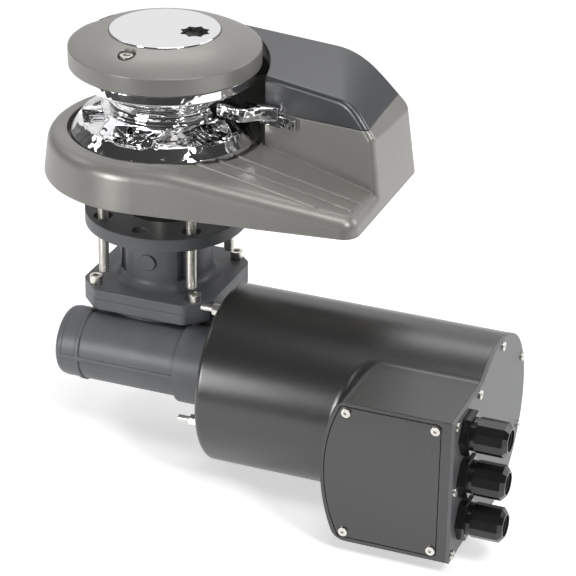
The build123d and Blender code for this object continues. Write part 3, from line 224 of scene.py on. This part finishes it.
class Paint:
    """A Principled material with helpers for the nodes that feed it."""

    def __init__(self, name, colour, metal, rough):
        self.made = bpy.data.materials.new(name)
        self.made.use_nodes = True
        self.nodes = self.made.node_tree.nodes
        self.links = self.made.node_tree.links
        self.shader = self.nodes["Principled BSDF"]
        self.shader.inputs["Base Color"].default_value = (*colour, 1)
        self.shader.inputs["Metallic"].default_value = metal
        self.shader.inputs["Roughness"].default_value = rough
        self.colour = colour
        self.place = self.nodes.new("ShaderNodeTexCoord")

    def noise(self, scale, detail=3.0):
        """Noise over the object's own coordinates, with scale in cells per metre."""
        noise = self.nodes.new("ShaderNodeTexNoise")
        noise.inputs["Scale"].default_value = scale
        noise.inputs["Detail"].default_value = detail
        self.links.new(self.place.outputs["Object"], noise.inputs["Vector"])
        return noise.outputs["Fac"]

    def spread(self, value, low, high, socket):
        """Runs a 0 to 1 value over low to high into a socket of the shader."""
        span = self.nodes.new("ShaderNodeMapRange")
        span.inputs["From Min"].default_value = NOISE_SPAN[0]
        span.inputs["From Max"].default_value = NOISE_SPAN[1]
        span.inputs["To Min"].default_value = low
        span.inputs["To Max"].default_value = high
        self.links.new(value, span.inputs["Value"])
        self.links.new(span.outputs[0], self.shader.inputs[socket])

    def tint(self, value, low, high):
        """Runs a 0 to 1 value over two brightnesses of the base colour."""
        ramp = self.nodes.new("ShaderNodeValToRGB")
        for element, place, k in zip(ramp.color_ramp.elements, NOISE_SPAN, (low, high)):
            element.position = place
            element.color = (*[min(c * k, 1) for c in self.colour], 1)
        self.links.new(value, ramp.inputs[0])
        self.links.new(ramp.outputs[0], self.shader.inputs["Base Color"])

    def bump(self, value, strength, depth):
        """Adds a relief, with depth in metres, over the normal that is there."""
        bump = self.nodes.new("ShaderNodeBump")
        bump.inputs["Strength"].default_value = strength
        bump.inputs["Distance"].default_value = depth
        self.links.new(value, bump.inputs["Height"])
        old = self.shader.inputs["Normal"]
        if old.is_linked:
            self.links.new(old.links[0].from_socket, bump.inputs["Normal"])
        self.links.new(bump.outputs[0], self.shader.inputs["Normal"])

    def soft_edges(self, radius):
        """Rounds the shading of sharp edges, as a casting or moulding has them."""
        edge = self.nodes.new("ShaderNodeBevel")
        edge.inputs["Radius"].default_value = radius
        edge.samples = BEVEL_SAMPLES
        self.links.new(edge.outputs[0], self.shader.inputs["Normal"])


def titanium():
    """Warm grey metallic lacquer: fine flakes, soft sheen."""
    paint = Paint("titanium_satin", (0.29, 0.281, 0.263), 0.4, 0.36)
    paint.soft_edges(1.6 * MM)
    paint.spread(paint.noise(14), 0.33, 0.39, "Roughness")
    paint.tint(paint.noise(2600, 2), 0.88, 1.12)
    paint.bump(paint.noise(2600, 2), 0.10, 0.1 * MM)
    return paint.made


def mirror():
    paint = Paint("mirror_steel", (0.86, 0.86, 0.87), 1, 0.05)
    paint.spread(paint.noise(40), 0.03, 0.08, "Roughness")
    return paint.made


def chrome():
    paint = Paint("chromed_bronze", (0.92, 0.92, 0.93), 1, 0.06)
    paint.soft_edges(0.8 * MM)
    paint.spread(paint.noise(60), 0.03, 0.09, "Roughness")
    paint.bump(paint.noise(110, 1), 0.45, 2 * MM)
    return paint.made


def stainless():
    paint = Paint("stainless", (0.74, 0.72, 0.67), 1, 0.34)
    paint.soft_edges(0.5 * MM)
    paint.spread(paint.noise(200), 0.28, 0.40, "Roughness")
    return paint.made


def dark_plastic():
    paint = Paint("dark_plastic", (0.036, 0.039, 0.044), 0.0, 0.33)
    paint.shader.inputs["Specular IOR Level"].default_value = 1.0
    paint.soft_edges(1.2 * MM)
    paint.spread(paint.noise(12), 0.31, 0.36, "Roughness")
    paint.bump(paint.noise(1800, 2), 0.08, 0.1 * MM)
    return paint.made


def slate():
    """Grey paint on a sand casting."""
    paint = Paint("slate_paint", (0.120, 0.126, 0.136), 0.0, 0.42)
    paint.soft_edges(1.4 * MM)
    paint.tint(paint.noise(30), 0.9, 1.1)
    paint.spread(paint.noise(20), 0.38, 0.48, "Roughness")
    paint.bump(paint.noise(700, 3), 0.16, 0.3 * MM)
    paint.bump(paint.noise(60, 2), 0.10, 1 * MM)
    return paint.made


def black_cover():
    """Near-black moulded plastic with a fine even grain."""
    paint = Paint("black_cover", (0.024, 0.0235, 0.023), 0.0, 0.30)
    paint.soft_edges(1.2 * MM)
    paint.shader.inputs["Specular IOR Level"].default_value = 1.0
    paint.tint(paint.noise(1500, 2), 0.85, 1.15)
    paint.spread(paint.noise(9), 0.24, 0.28, "Roughness")
    paint.bump(paint.noise(1500, 2), 0.35, 0.2 * MM)
    return paint.made


def grey_plate():
    paint = Paint("grey_plate", (0.13, 0.132, 0.137), 0.0, 0.42)
    paint.bump(paint.noise(1500, 2), 0.2, 0.2 * MM)
    return paint.made


def black_gloss():
    paint = Paint("black_gloss", (0.012, 0.012, 0.013), 0.0, 0.16)
    paint.spread(paint.noise(50), 0.12, 0.22, "Roughness")
    paint.bump(paint.noise(400), 0.05, 0.2 * MM)
    return paint.made


def rubber():
    paint = Paint("black_rubber", (0.018, 0.018, 0.018), 0.0, 0.7)
    paint.bump(paint.noise(900), 0.2, 0.2 * MM)
    return paint.made


def machined(name, colour, rough):
    paint = Paint(name, colour, 1, rough)
    paint.spread(paint.noise(80), rough * 0.8, rough * 1.25, "Roughness")
    paint.bump(paint.noise(900, 2), 0.08, 0.1 * MM)
    return paint.made


def plain(name, colour, rough, metal=0.0):
    paint = Paint(name, colour, metal, rough)
    paint.tint(paint.noise(120), 0.85, 1.15)
    paint.bump(paint.noise(900, 2), 0.15, 0.1 * MM)
    return paint.made


MATERIALS = {
    "titanium_satin": titanium(),
    "mirror_steel": mirror(),
    "chromed_bronze": chrome(),
    "stainless": stainless(),
    "dark_plastic": dark_plastic(),
    "slate_paint": slate(),
    "black_cover": black_cover(),
    "grey_plate": grey_plate(),
    "black_gloss": black_gloss(),
    "black_rubber": rubber(),
    "bronze": machined("bronze", (0.50, 0.33, 0.12), 0.3),
    "ground_steel": machined("ground_steel", (0.55, 0.55, 0.56), 0.22),
    "friction_steel": machined("friction_steel", (0.42, 0.42, 0.43), 0.35),
    "bell_alloy": machined("bell_alloy", (0.62, 0.62, 0.63), 0.45),
    "yoke_steel": plain("yoke_steel", (0.08, 0.08, 0.085), 0.4, 0.6),
    "magnet_ferrite": plain("magnet_ferrite", (0.05, 0.05, 0.055), 0.6),
    "core_steel": plain("core_steel", (0.22, 0.21, 0.20), 0.5, 0.8),
    "copper": machined("copper", (0.66, 0.30, 0.14), 0.3),
    "carbon": plain("carbon", (0.03, 0.03, 0.03), 0.7),
    "holder_plastic": plain("holder_plastic", (0.16, 0.07, 0.035), 0.5),
}


def dress_nodes():
    """Every CAD node gets the detailed material of its slot."""
    slots = {part["node"]: part["material_slot"] for part in frame["record"]["subparts"]}
    for node, obj in frame["nodes"].items():
        paint = MATERIALS[slots[node]]
        obj.data.materials.clear()
        obj.data.materials.append(paint)


def thread_ring(mesh, middle, z):
    """One ring of points round a stud at height z, on the thread's spiral."""
    ring = []
    for side in range(THREAD_SIDES):
        phase = (z / THREAD_PITCH - side / THREAD_SIDES) % 1
        rise = min(1, THREAD_STEEPNESS * (1 - abs(2 * phase - 1)))
        r = THREAD_ROOT_R + (THREAD_CREST_R - THREAD_ROOT_R) * rise
        r = min(r, THREAD_ROOT_R - THREAD_LEAD_IN + (z - STUD_FOOT))
        angle = 2 * pi * side / THREAD_SIDES
        ring.append(mesh.verts.new(middle + Vector((r * cos(angle), r * sin(angle), z))))
    return ring


def make_studs():
    """The deck studs with their rolled thread, in place of the plain ones."""
    length = STUD_TOP - STUD_FOOT
    count = int(length / THREAD_PITCH * THREAD_STEPS)
    mesh = bmesh.new()
    for k in range(STUD_COUNT):
        turn = radians(STUD_TURN + 360 / STUD_COUNT * k)
        middle = Vector((STUD_REACH * cos(turn), STUD_REACH * sin(turn), 0))
        rows = [
            thread_ring(mesh, middle, STUD_FOOT + length * row / count)
            for row in range(count + 1)
        ]
        for low, high in zip(rows, rows[1:]):
            for side in range(THREAD_SIDES):
                mesh.faces.new((low[side - 1], low[side], high[side], high[side - 1]))
        mesh.faces.new(reversed(rows[0]))
        mesh.faces.new(rows[-1])
    data = bpy.data.meshes.new("deck_stud_threads")
    mesh.to_mesh(data)
    mesh.free()
    studs = bpy.data.objects.new("deck_stud_threads", data)
    bpy.context.collection.objects.link(studs)
    data.materials.append(MATERIALS["stainless"])
    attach(studs, "frame")
    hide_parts("deck_studs")


bpy.context.scene.view_settings.view_transform = "Standard"
make_camera()
make_light()
make_floor()
make_flag()
dress_nodes()
make_studs()
